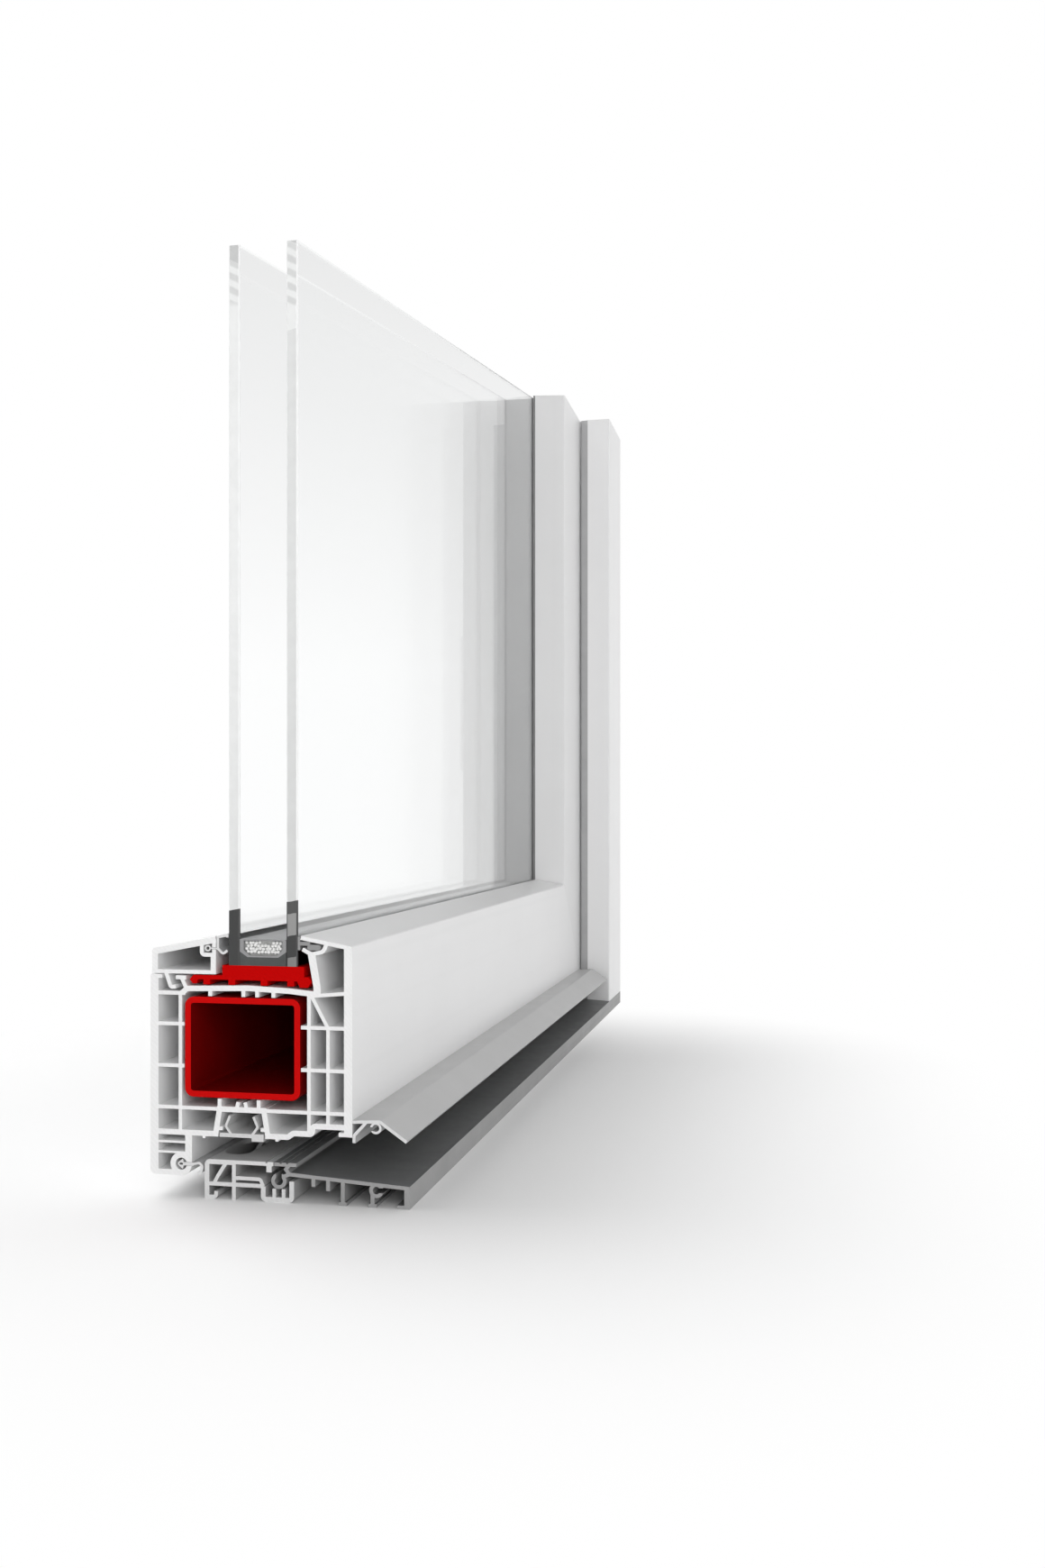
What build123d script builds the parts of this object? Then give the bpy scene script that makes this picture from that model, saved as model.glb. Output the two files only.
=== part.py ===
from build123d import *
import math
import os

os.makedirs("parts", exist_ok=True)

# Overall sizes, in millimetres. The sample is one lower corner of the door, cut square at the free end.
sample_length = 512.0
sample_height = 377.0
glass_cut_height = 313.0

# Walls of the extruded profiles
face_wall = 2.8
main_wall = 1.8
web_wall = 1.2
lip_wall = 1.3
corner_round = 1.0
slip = 0.3

# Leaf profile, measured through its depth from the inside face to the outside face
inner_chamber = 7.2
tube_play_in = 1.1
tube_play_out = 2.4
outer_chamber = 5.3
face_chamber = 4.8

# Steel tube inside the leaf profile
tube_depth = 40.0
tube_height = 33.0
tube_wall = 2.0
tube_round = 3.0
weld_clear = 6.0

# Leaf profile, measured across its width from the tip of its inside flange
flange_depth = 14.7
flange_height = 14.2
flange_wall = 2.4
flange_web = 0.7
flange_round = 2.0
groove_rise = 8.2
tube_bed = 2.8
floor_crown = 0.6
floor_rise = 2.9
groove_mouth = 16.4
groove_top_width = 13.6
groove_centre = 32.1
outer_edge_rise = 3.9
sight_height = 13.3
low_web_rise = 13.8
high_web_rise = 27.6

# Small ribs and lips of the leaf profile
bulb_radius = 2.0
edge_step = 1.3
guide_width = 1.0
guide_height = 0.7
guide_in = 18.9
guide_out = 44.3
nub_reach = 1.6
nub_drop = 2.0
tooth_drop = 2.4
bed_reach_in = 7.7
bed_reach_out = 5.9
barb_foot = 1.8
barb_tip = 1.2
keeper_lean = 1.6
keeper_head = 4.0
leg_wall = 2.5
leg_shift = 2.8
leg_lean = 1.9
cup_drop = 2.7
cup_inset = 8.8
cup_lip = 1.6
cup_bend = 2.0
cover_rise = 2.6

# Glazed unit, bead and packers
pane = 4.0
cavity = 16.0
glass_set_back = 18.5
bridge_height = 3.1
pad_height = 3.4
pad_overhang = 2.1
packer_length = 100.0
spacer_height = 5.9
spacer_skin = 1.3
spacer_cover = 0.5
spacer_taper = 2.7
spacer_bevel = 1.8
seal_depth = 2.8
bead_set_back = 0.5
bead_wall = 2.1
bead_face = 8.3
bead_slope = 4.2
bead_clear = 0.3
bead_channel = 5.6
bead_channel_rise = 6.4
bead_hook = 5.4
gasket_gap = 4.4
gasket_lip = 0.8
gasket_skin = 0.5
wing_drop = 1.8
neck_rise = 3.4
root_rise = 2.2
root_start = 3.2
root_length = 4.6
root_height = 1.8
seal_clear = 0.4
seal_rise = 0.6
seal_drop = 3.0
eye_length = 1.3
eye_height = 0.7

# Packer under the glass
nose_bevel = 1.0
heel_bevel = 4.0
bridge_bar = 1.4
rib_width = 2.3

# Frame and threshold
frame_set_back = 19.2
frame_depth = 70.0
jamb_width = 38.0
stop_height = 14.5
stop_gap = 5.2
rebate_gap = 7.5
threshold_height = 13.0
sill_wall = 1.3
base_depth = 31.0
trough_depth = 10.6
trough_wall = 1.6
shelf_height = 5.0
shelf_step = 2.2
post_reach = 10.2
toe_reach = 4.0
toe_height = 2.6
port_inset = 5.2
port_height = 7.0
port_radius = 2.6
plate_wall = 1.2
plate_inner_top = 9.9
plate_outer_top = 7.3
plate_root_inset = 1.6
ridge_inset = 6.8
ridge_reach = 0.8
rib_start = 6.6
rib_pitch = 5.0
rib_height = 3.1
rib_growth = 0.8
front_port_inset = 11.1
front_port_height = 5.6
front_port_radius = 2.4
nosing_toe = 2.4
jamb_tube_depth = 34.0
jamb_tube_width = 24.0
jamb_tube_wall = 1.8
seal_inset = 2.6
seal_root = 2.6
seal_neck = 1.4
seal_lip = 1.6
joint_gap = 0.1
score_width = 0.7
score_depth = 0.4
score_pitch = 2.2
drain_width = 9.8
drain_length = 24.0
drain_depth = 4.0
drain_inset = 6.8
drain_end = 19.9

# Weather bar on the outside of the leaf
bar_wall = 1.0
bar_flat = 9.2
bar_fall = 0.5
bar_reach = 18.2
bar_drop = 6.2
bar_end_gap = 5.5
bar_below_web = 2.4
bar_port_radius = 1.9

# Hinge on the inside
hinge_height = 200.0
axis_out = 12.0
axis_side = 7.4
knuckle_radius = 9.0
pin_radius = 4.0
pin_clear = 0.06
leaf_knuckle = 40.0
frame_knuckle = 22.0
knuckle_gap = 0.4
flag_inset = 10.0
flag_width = 40.0
flag_height = 92.0
flag_wall = 4.0
flag_round = 3.0
flag_ease = 1.2
bracket_inset = 3.0
arm_wall = 8.0
cap_height = 3.0
cap_ease = 1.5

# Places through the depth, from the inside face of the leaf towards the outside
web_in = face_wall + inner_chamber + web_wall / 2
tube_in = web_in + web_wall / 2 + tube_play_in
tube_out = tube_in + tube_depth
web_out = tube_out + tube_play_out + web_wall / 2
web_mid = web_out + web_wall + outer_chamber
leaf_depth = web_mid + web_wall / 2 + face_chamber + face_wall
glass_out = leaf_depth - glass_set_back
glass_in = glass_out - pane - cavity - pane
frame_in = frame_set_back
frame_out = frame_in + frame_depth
base_out = frame_in + base_depth
origin_depth = base_out - base_depth / 5

# Places across the leaf profile, from the tip of its flange
groove_top = flange_height + groove_rise
tube_low = groove_top + main_wall / 2 + tube_bed
tube_high = tube_low + tube_height
floor_line = tube_high + floor_rise
floor_top = floor_line + floor_crown / 2 + main_wall / 2
glass_low = floor_top + bridge_height + pad_height
sight_line = floor_top + sight_height
outer_edge = flange_height + outer_edge_rise
leaf_edge = flange_height - main_wall / 2

# Places along the sample and up from the floor
free_end = -sample_length / 2
wall_end = sample_length / 2
rebate_floor = wall_end - jamb_width
leaf_outer = rebate_floor - rebate_gap + leaf_edge
leaf_base = threshold_height + rebate_gap - leaf_edge
stop_tip = rebate_floor - stop_height
hinge_axis = leaf_outer + axis_side


# The part's depth axis points to the inside, with the origin on the foot of the threshold's trough
def depth(e):
    return origin_depth - e


def rounded(section, radius, *points):
    corners = [section.vertices().sort_by_distance(Vector(*p))[0] for p in points]
    return fillet(corners, radius)


# A wall of even thickness that follows a line of points, with mitred or rounded bends
def strip(thickness, *path, bend=0):
    points = [Vector(*p) for p in path]
    last = len(points) - 1
    left = []
    right = []
    arcs = []
    for i, p in enumerate(points):
        before = (p - points[i - 1] if i else points[1] - p).normalized()
        after = (points[i + 1] - p).normalized() if i < last else before
        along = (before + after).normalized()
        side = Vector(-along.Y, along.X) * (thickness / 2 / along.dot(after))
        left.append(p + side)
        right.append(p - side)
        swing = math.copysign(thickness / 2, before.cross(after).Z)
        if bend and 0 < i < last:
            arcs += [(p + side, bend - swing), (p - side, bend + swing)]
    wall = Polygon(*right, *reversed(left), align=None)
    for corner, radius in arcs:
        if radius > slip / 2:
            wall = rounded(wall, radius, (corner.X, corner.Y))
    return wall


def box2(e0, v0, e1, v1):
    return Polygon((e0, v0), (e1, v0), (e1, v1), (e0, v1), align=None)


# Profiles run along the bottom rail or up the stile, and meet on a 45 degree mitre at the leaf's lower corner
mitre = Plane(origin=(leaf_outer, 0, leaf_base), z_dir=(1, 0, 1))


def run_along(section, start, stop, base):
    face = Plane(origin=(start, depth(0), base), x_dir=(0, -1, 0), z_dir=(-1, 0, 0)) * section
    return extrude(face, amount=start - stop)


def run_up(section, low, high, side):
    face = Plane(origin=(side, depth(0), low), x_dir=(0, -1, 0), z_dir=(0, 0, -1)) * section
    return extrude(face, amount=low - high)


def leaf_rail(section):
    return split(run_along(section, free_end, leaf_outer, leaf_base), bisect_by=mitre, keep=Keep.BOTTOM)


def leaf_stile(section):
    return split(run_up(section, leaf_base, sample_height, leaf_outer), bisect_by=mitre, keep=Keep.TOP)


def save(name, shape):
    solids = shape.solids()
    export_step(solids[0] if len(solids) == 1 else Compound(children=solids), f"parts/{name}.step")
    print(name, len(solids), round(shape.volume))


# Leaf profile with its chambers, flange, hardware groove, glazing rebate and gasket grooves
slot_floor = tube_high + floor_rise - main_wall
slot_top = floor_top + bridge_height
flange_line = flange_depth - flange_wall / 2
bulb_e = flange_depth - bulb_radius - main_wall
bulb_v = bulb_radius + main_wall
floor_foot = floor_line - 2 * floor_crown
leg_foot = web_out + leg_shift
leg_head = leg_foot - leg_lean
lip_v = sight_line - cup_drop
groove_back = leaf_depth - cup_inset
mouth_low = groove_centre - groove_mouth / 2
mouth_high = groove_centre + groove_mouth / 2
roof_low = groove_centre - groove_top_width / 2
roof_high = groove_centre + groove_top_width / 2
face_line = leaf_depth - face_wall / 2
step_v = flange_height + edge_step
web_levels = [groove_top + low_web_rise, groove_top + high_web_rise]


def flange_walls():
    tip = strip(main_wall, (0, main_wall / 2), (bulb_e, main_wall / 2))
    side = strip(flange_wall, (flange_line, bulb_v), (flange_line, flange_height + main_wall / 2))
    ring = Pos(bulb_e, bulb_v) * Circle(bulb_radius + main_wall)
    levels = [flange_height * share for share in (0.53, 0.77)]
    webs = [strip(flange_web, (0, v), (flange_line, v)) for v in levels]
    return [tip, side, ring, *webs]


def edge_walls():
    edge_in = strip(main_wall, (0, flange_height), (mouth_low, flange_height))
    edge_out = strip(
        main_wall,
        (mouth_high, flange_height),
        (tube_out - tube_play_out - main_wall, flange_height),
        (tube_out - tube_play_out, step_v),
        (web_out + web_wall, step_v),
        (web_out + web_wall, outer_edge),
        (face_line, outer_edge),
        bend=corner_round,
    )
    guides = [
        box2(e - guide_width / 2, leaf_edge - guide_height, e + guide_width / 2, flange_height)
        for e in (guide_in, guide_out)
    ]
    tooth_v = outer_edge - tooth_drop
    tooth = strip(lip_wall, (leaf_depth - face_wall - main_wall, tooth_v), (face_line, tooth_v))
    return [edge_in, edge_out, *guides, tooth]


def groove_walls():
    half = main_wall / 2
    side_in = strip(main_wall, (mouth_low - half, flange_height), (roof_low - half, groove_top))
    side_out = strip(main_wall, (mouth_high + half, flange_height), (roof_high + half, groove_top))
    roof = strip(main_wall, (roof_low - main_wall, groove_top), (roof_high + main_wall, groove_top))
    nub_v = outer_edge - nub_drop
    nubs = [strip(web_wall, (mouth_low - slip, nub_v), (mouth_low + nub_reach, nub_v))]
    nubs.append(strip(web_wall, (mouth_high - nub_reach, nub_v), (mouth_high + slip, nub_v)))
    beds = [
        strip(lip_wall, (e, groove_top), (e, tube_low - slip))
        for e in (groove_centre - bed_reach_in, groove_centre + bed_reach_out)
    ]
    barb_v = tube_low - web_wall
    barbs = [
        strip(web_wall, (groove_centre + k * barb_foot, groove_top), (groove_centre + k * barb_tip, barb_v))
        for k in (-1, 1)
    ]
    return [side_in, side_out, roof, *nubs, *beds, *barbs]


def chamber_webs():
    upright_in = strip(web_wall, (web_in, flange_height), (web_in, slot_floor))
    upright_foot = flange_height + main_wall / 2
    upright_out = strip(web_wall, (web_out, upright_foot), (web_out, floor_line - floor_crown))
    upright_mid = strip(web_wall, (web_mid, outer_edge), (web_mid, web_levels[1]))
    cross_in = strip(web_wall, (0, groove_top), (roof_low, groove_top))
    cross_out = strip(web_wall, (roof_high, groove_top), (face_line, groove_top))
    stubs_in = [strip(web_wall, (0, v), (tube_in - slip, v)) for v in web_levels]
    stubs_out = [strip(web_wall, (tube_out + slip, v), (face_line, v)) for v in web_levels]
    brace = strip(web_wall, (web_out + web_wall / 2, floor_foot), (web_mid, web_levels[1]))
    return [upright_in, upright_out, upright_mid, cross_in, cross_out, *stubs_in, *stubs_out, brace]


def rebate_walls():
    slot_base = strip(lip_wall, (0, slot_floor), (tube_in, slot_floor))
    slot_side = strip(main_wall, (tube_in - web_wall, slot_floor), (tube_in + corner_round, floor_line))
    floor = strip(
        main_wall,
        (tube_in, floor_line - floor_crown / 2),
        (tube_in + 0.55 * tube_depth, floor_line + floor_crown / 2),
        (tube_out - 2 * main_wall, floor_line - floor_crown / 2),
        (leg_foot, floor_foot),
    )
    places = [tube_in + tube_depth * share for share in (0.22, 0.51, 0.63, 0.77)]
    ribs = [strip(lip_wall, (e, floor_line), (e, tube_high + slip)) for e in places]
    head_v = slot_top - slip - lip_wall / 2
    keeper_e = tube_in + slip
    keeper = strip(lip_wall, (keeper_e, floor_line), (keeper_e - keeper_lean, head_v))
    keeper_top = strip(lip_wall, (keeper_e - keeper_lean - keeper_head / 2, head_v), (keeper_e, head_v))
    nib_v = slot_top - lip_wall / 2
    nib = strip(lip_wall, (0, nib_v), (face_wall + lip_wall, nib_v))
    return [slot_base, slot_side, floor, *ribs, keeper, keeper_top, nib]


def glazing_lip():
    leg = strip(leg_wall, (leg_foot, floor_foot), (leg_foot, floor_top), (leg_head, lip_v))
    shelf_v = floor_foot - (main_wall - web_wall + joint_gap) / 2
    shelf = strip(web_wall, (web_out, shelf_v), (leg_foot, shelf_v), (face_line, floor_line - floor_crown))
    cup = strip(
        lip_wall,
        (glass_out + cup_lip, lip_v + cup_lip),
        (leg_head, lip_v),
        (groove_back - corner_round, lip_v + 0.7 * lip_wall),
        (groove_back, sight_line + floor_crown),
        bend=cup_bend,
    )
    cover_tip = (glass_out + corner_round, sight_line + cover_rise)
    cover = strip(lip_wall, cover_tip, (leaf_depth, sight_line - lip_wall / 2))
    return [leg, shelf, cup, cover]


def leaf_section():
    inside = box2(0, 0, face_wall, slot_top)
    outside = box2(leaf_depth - face_wall, outer_edge - tooth_drop - lip_wall / 2, leaf_depth, sight_line)
    section = Sketch() + [inside, outside, *flange_walls(), *edge_walls(), *groove_walls()]
    section += [*chamber_webs(), *rebate_walls(), *glazing_lip()]
    section -= box2(leaf_depth, 0, leaf_depth + face_wall, sight_line + cover_rise)
    section -= Pos(bulb_e, bulb_v) * Circle(bulb_radius)
    section -= box2(bulb_e, bulb_v - lip_wall / 2, flange_depth + lip_wall, bulb_v + lip_wall / 2)
    section = rounded(section, flange_round, (0, 0))
    return rounded(section, corner_round, (leaf_depth, sight_line))


save("leaf_bottom_rail", leaf_rail(leaf_section()))
save("leaf_stile", leaf_stile(leaf_section()))


# Steel tubes, cut square and short of the welded corner
def tube_section(e0, v0, width, height, wall, radius):
    middle = Pos(e0 + width / 2, v0 + height / 2)
    bore = RectangleRounded(width - 2 * wall, height - 2 * wall, radius - wall)
    return middle * RectangleRounded(width, height, radius) - middle * bore


leaf_tube = tube_section(tube_in, tube_low, tube_depth, tube_height, tube_wall, tube_round)
tube_stop = tube_high + weld_clear
save("rail_reinforcement", run_along(leaf_tube, free_end, leaf_outer - tube_stop, leaf_base))
save("stile_reinforcement", run_up(leaf_tube, leaf_base + tube_stop, sample_height, leaf_outer))

# Glazed unit, with its top edge cut on a slant
glass_side = leaf_outer - glass_low
glass_foot = leaf_base + glass_low
slant = Vector(glass_side - free_end, 0, sample_height - glass_cut_height)
glass_cut = Plane(origin=(glass_side, 0, sample_height), z_dir=(-slant.Z, 0, slant.X))


def pane_at(e):
    outline = Polygon(
        (free_end, glass_foot),
        (glass_side, glass_foot),
        (glass_side, sample_height),
        (free_end, glass_cut_height),
        align=None,
    )
    return extrude(Plane(origin=(0, depth(e), 0), x_dir=(1, 0, 0), z_dir=(0, -1, 0)) * outline, amount=pane)


save("inner_pane", pane_at(glass_in))
save("outer_pane", pane_at(glass_out - pane))

spacer_in = glass_in + pane
spacer_out = spacer_in + cavity
spacer_low = glass_low + seal_depth
spacer_side = spacer_low + spacer_bevel
spacer_top = spacer_low + spacer_height


def spacer_outline(skin, cover):
    return Polygon(
        (spacer_in + skin, spacer_top - cover),
        (spacer_in + skin, spacer_side + cover),
        (spacer_in + spacer_taper + skin / 2, spacer_low + cover),
        (spacer_out - spacer_taper - skin / 2, spacer_low + cover),
        (spacer_out - skin, spacer_side + cover),
        (spacer_out - skin, spacer_top - cover),
        align=None,
    )


def seal_section():
    return box2(spacer_in, glass_low, spacer_out, spacer_side) - spacer_outline(0, 0)


def unit_side(section):
    return split(leaf_stile(section), bisect_by=glass_cut, keep=Keep.BOTTOM)


spacer_filling = spacer_outline(spacer_skin, spacer_cover)
for name, section in (
    ("spacer", spacer_outline(0, 0) - spacer_filling),
    ("desiccant", spacer_filling),
    ("edge_seal", seal_section()),
):
    save(f"bottom_{name}", leaf_rail(section))
    save(f"side_{name}", unit_side(section))

# Glazing bead, clipped in on the inside, and the two glazing gaskets
bead_low = slot_top + bead_clear
bead_back = glass_in - gasket_gap
bead_high = bead_low + bead_face
bead_tip = bead_high + bead_slope
channel_v = bead_low + bead_channel_rise
channel_e = bead_back - bead_channel + lip_wall / 2
bead_line = bead_set_back + bead_wall / 2


def bead_section():
    shell = strip(
        bead_wall,
        (bead_line, bead_low),
        (bead_line, bead_high - bead_wall / 2),
        (bead_back, bead_tip - bead_wall / 2),
    )
    shell = rounded(shell, corner_round, (bead_set_back, bead_high))
    foot_v = bead_low + lip_wall / 2
    foot = strip(lip_wall, (bead_line, foot_v), (bead_back, foot_v))
    back = strip(main_wall, (bead_back - main_wall / 2, bead_low), (bead_back - main_wall / 2, channel_v))
    channel = strip(
        lip_wall,
        (bead_back, channel_v),
        (channel_e, channel_v),
        (channel_e, bead_tip - main_wall),
        bend=corner_round,
    )
    lips = [box2(bead_back - lip_wall, channel_v, bead_back, channel_v + main_wall)]
    lips.append(box2(bead_back - lip_wall, bead_tip - 2 * main_wall, bead_back, bead_tip - main_wall))
    hook_v = slot_floor + main_wall
    hook = strip(
        lip_wall,
        (bead_hook, foot_v),
        (bead_hook + main_wall, hook_v),
        (bead_hook + 2 * main_wall, hook_v + slip),
        bend=corner_round,
    )
    return Sketch() + [shell, foot, back, channel, *lips, hook]


def bead_gasket_section():
    neck_low = channel_v + main_wall + slip / 3
    neck_high = bead_tip - 2 * main_wall - slip / 3
    neck_v = (neck_low + neck_high) / 2
    root_in = channel_e + lip_wall / 2 + slip
    root_out = bead_back - lip_wall - slip
    root_radius = (root_out - root_in - slip) / 2
    middle = Pos((root_in + root_out) / 2, neck_v)
    root = middle * (Circle(root_radius) - Circle(root_radius - gasket_skin))
    neck = box2(root_out - gasket_skin, neck_low, bead_back + gasket_lip, neck_high)
    body_e = bead_back + slip + gasket_lip / 2
    contact = glass_in - gasket_lip / 2
    body = strip(gasket_lip, (body_e, neck_low - slip), (body_e, bead_tip - slip))
    cap = strip(gasket_lip, (bead_back + slip, bead_tip - slip), (contact, bead_tip + gasket_lip / 2))
    pad = box2(glass_in - gasket_lip, bead_tip - slip, glass_in, bead_tip + gasket_lip)
    wing = strip(
        gasket_lip,
        (body_e, neck_v),
        (body_e + wing_drop, neck_v - wing_drop),
        (contact, neck_low - gasket_lip / 2),
        bend=gasket_lip,
    )
    return Sketch() + [root, neck, body, cap, pad, wing]


def outer_gasket_section():
    neck_v = lip_v + neck_rise
    root_in = glass_out + root_start
    head = box2(glass_out, lip_v + cup_lip - slip, glass_out + gasket_lip, sight_line + cover_rise + slip)
    neck = strip(web_wall, (glass_out + slip, neck_v), (root_in + root_height / 2, neck_v))
    root = Pos(root_in + root_length / 2, lip_v + root_rise) * SlotOverall(root_length, root_height)
    return Sketch() + [head, neck, root]


for name, section in (
    ("glazing_bead", bead_section()),
    ("bead_gasket", bead_gasket_section()),
    ("outer_glazing_gasket", outer_gasket_section()),
):
    save(f"bottom_{name}", leaf_rail(section))
    save(f"side_{name}", leaf_stile(section))


# Packers under the glass at the free end: a ribbed bridge on the rebate floor and a flat pad on top
def bridge_section():
    nose = tube_in + nose_bevel + 2 * slip
    heel = leg_foot - leg_wall / 2 - 2 * slip
    bar_low = slot_top - bridge_bar
    foot_v = floor_top + slip
    heel_v = foot_v - floor_crown
    bar = Polygon(
        (nose, bar_low),
        (nose + nose_bevel, foot_v),
        (nose + nose_bevel + bridge_bar, foot_v),
        (nose + 2 * bridge_bar, bar_low),
        (heel - heel_bevel - nose_bevel, bar_low),
        (heel - heel_bevel, heel_v),
        (heel - bridge_bar, heel_v),
        (heel, bar_low),
        (heel - nose_bevel, slot_top),
        (nose + bridge_bar, slot_top),
        align=None,
    )
    places = [nose + tube_depth * share for share in (0.12, 0.34, 0.62, 0.85)]
    ribs = [box2(e, floor_top + slip / 6, e + rib_width, slot_top - slip) for e in places]
    return Sketch() + [bar, *ribs]


def pad_section():
    return box2(glass_in - pad_overhang, slot_top, glass_out + pad_overhang, glass_low)


save("glazing_bridge", run_along(bridge_section(), free_end, free_end + packer_length, leaf_base))
save("glazing_pad", run_along(pad_section(), free_end, free_end + packer_length, leaf_base))


# Soft seal on the flange, and the sprung strip that closes the hardware groove
def flange_seal_section():
    barb = bulb_radius - slip
    neck_half = lip_wall / 2 - slip / 3
    neck_e = bulb_e + barb / 2
    head = Polygon(
        (bulb_e - barb, bulb_v),
        (bulb_e + barb / 3, bulb_v - barb),
        (neck_e, bulb_v - neck_half),
        (neck_e, bulb_v + neck_half),
        (bulb_e + barb / 3, bulb_v + barb),
        align=None,
    )
    head = rounded(head, gasket_lip, (bulb_e - barb, bulb_v))
    head -= Pos(bulb_e, bulb_v) * SlotOverall(eye_length, eye_height)
    lip_root = flange_depth + slip
    lip_end = frame_in - seal_clear - gasket_lip / 2
    reach = lip_end - lip_root
    neck = box2(neck_e - slip / 3, bulb_v - neck_half, lip_root + slip, bulb_v + neck_half)
    lip = strip(
        gasket_lip,
        (lip_root, bulb_v),
        (lip_root + 2 * reach / 3, bulb_v + seal_rise),
        (lip_end, bulb_v - seal_rise),
        (lip_end - reach / 8, bulb_v - seal_drop + seal_rise),
        (lip_root + reach / 2, bulb_v - seal_drop),
        bend=gasket_lip,
    )
    return Sketch() + [head, neck, lip]


def groove_strip_section():
    low = mouth_low + main_wall / 2 - slip
    high = mouth_high - main_wall / 2 + slip
    base_v = leaf_edge + lip_wall / 2
    ledge_v = leaf_edge - lip_wall / 3
    base = strip(lip_wall, (low, base_v), (high, base_v))
    ledge = strip(lip_wall, (high - groove_mouth / 4, ledge_v), (high, ledge_v))
    springs = [
        strip(
            gasket_lip,
            (groove_centre + k * groove_top_width / 4, base_v),
            (groove_centre + k * groove_top_width * 0.41, base_v + groove_rise * 0.36),
            (groove_centre + k * groove_top_width * 0.3, groove_top - main_wall - slip),
            bend=corner_round,
        )
        for k in (-1, 1)
    ]
    return Sketch() + [base, ledge, *springs]


save("bottom_flange_seal", leaf_rail(flange_seal_section()))
save("side_flange_seal", leaf_stile(flange_seal_section()))
save("groove_strip", leaf_rail(groove_strip_section()))

# Weather bar with a drip nose and a screw port
bar_top = groove_top - bar_below_web
bar_root = leaf_depth + slip / 3


def weather_bar_section():
    ridge_v = bar_top + bar_fall
    ridge = (leaf_depth + bar_flat, ridge_v)
    nose = (leaf_depth + bar_reach, ridge_v - bar_drop)
    cover = strip(bar_wall, (bar_root, bar_top), ridge, nose, bend=corner_round)
    leg = strip(
        bar_wall,
        (leaf_depth + bar_flat / 2, bar_top),
        (bar_root + bar_wall / 2, outer_edge - bar_below_web),
        (bar_root + bar_wall / 2, leaf_edge),
        bend=corner_round,
    )
    port_e = leaf_depth + 0.86 * bar_flat
    port_v = bar_top - bar_port_radius + slip
    port = Pos(port_e, port_v) * (Circle(bar_port_radius) - Circle(bar_port_radius - bar_wall * 0.75))
    port -= box2(port_e - bar_flat / 2, port_v - bar_wall, port_e, port_v + slip)
    return Sketch() + [cover, leg, port]


save("weather_bar", run_along(weather_bar_section(), free_end, stop_tip - bar_end_gap, leaf_base))

# Low threshold: a chambered base on the inside and a sloped metal plate on the outside
base_top = threshold_height - sill_wall / 2
post_e = frame_in + post_reach
trough_in = base_out - trough_depth
port_e = base_out - port_inset
ridge_in = base_out - ridge_inset
ridge_out = base_out + ridge_reach
plate_root = base_out - plate_root_inset
drop_e = ridge_in - main_wall
ridge_line = threshold_height - plate_wall / 2


def plate_line(e):
    share = (e - plate_root) / (frame_out - plate_root)
    return plate_inner_top + share * (plate_outer_top - plate_inner_top) - plate_wall / 2


def base_section():
    shell_top = threshold_height - trough_wall / 2
    shell = strip(
        trough_wall,
        (frame_in + trough_wall / 2, 0),
        (frame_in + trough_wall / 2, shell_top),
        (post_e, shell_top),
        bend=corner_round,
    )
    top = strip(sill_wall, (post_e - post_reach / 2, base_top), (ridge_in - slip, base_top))
    shelf = strip(sill_wall, (frame_in + sill_wall, shelf_height), (trough_in, shelf_height))
    post = strip(sill_wall, (post_e, 0), (post_e, base_top))
    upper_v = shelf_height + shelf_step
    upper_shelf = strip(
        web_wall,
        (post_e, upper_v),
        (trough_in - corner_round, upper_v),
        (trough_in, shelf_height),
        bend=corner_round,
    )
    spring = strip(
        web_wall,
        (post_e - post_reach / 4, base_top),
        (post_e - post_reach * 0.55, shelf_height + toe_height),
        (frame_in + 2 * trough_wall, shelf_height),
        bend=2 * corner_round,
    )
    toe = strip(
        sill_wall,
        (frame_in + sill_wall / 2, sill_wall / 2),
        (frame_in + toe_reach, sill_wall / 2),
        (frame_in + toe_reach, toe_height),
        bend=corner_round,
    )
    drop = strip(main_wall, (drop_e, port_height + port_radius), (drop_e, base_top))
    trough = strip(
        trough_wall,
        (trough_in, shelf_height),
        (trough_in, trough_wall / 2),
        (base_out - trough_wall / 2, trough_wall / 2),
        (base_out - trough_wall / 2, port_height),
        bend=corner_round,
    )
    places = [port_e - trough_wall, port_e + trough_wall]
    prongs = [strip(web_wall, (e, trough_wall / 2), (e, port_height - port_radius)) for e in places]
    section = Sketch() + [shell, top, shelf, post, upper_shelf, spring, toe, drop, trough, *prongs]
    return section - score(trough_in + score_pitch / 2)


# A fine line scored along the top of the threshold
def score(e):
    low = threshold_height - score_depth
    return box2(e - score_width / 2, low, e + score_width / 2, threshold_height + slip)


# A round-ended slot cut through the top of the threshold into its chamber
def slotted(solid):
    cutter = extrude(SlotOverall(drain_length, drain_width), 2 * drain_depth)
    place = Pos(free_end + drain_end, depth(frame_in + drain_inset), threshold_height - drain_depth)
    return solid - place * cutter


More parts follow.
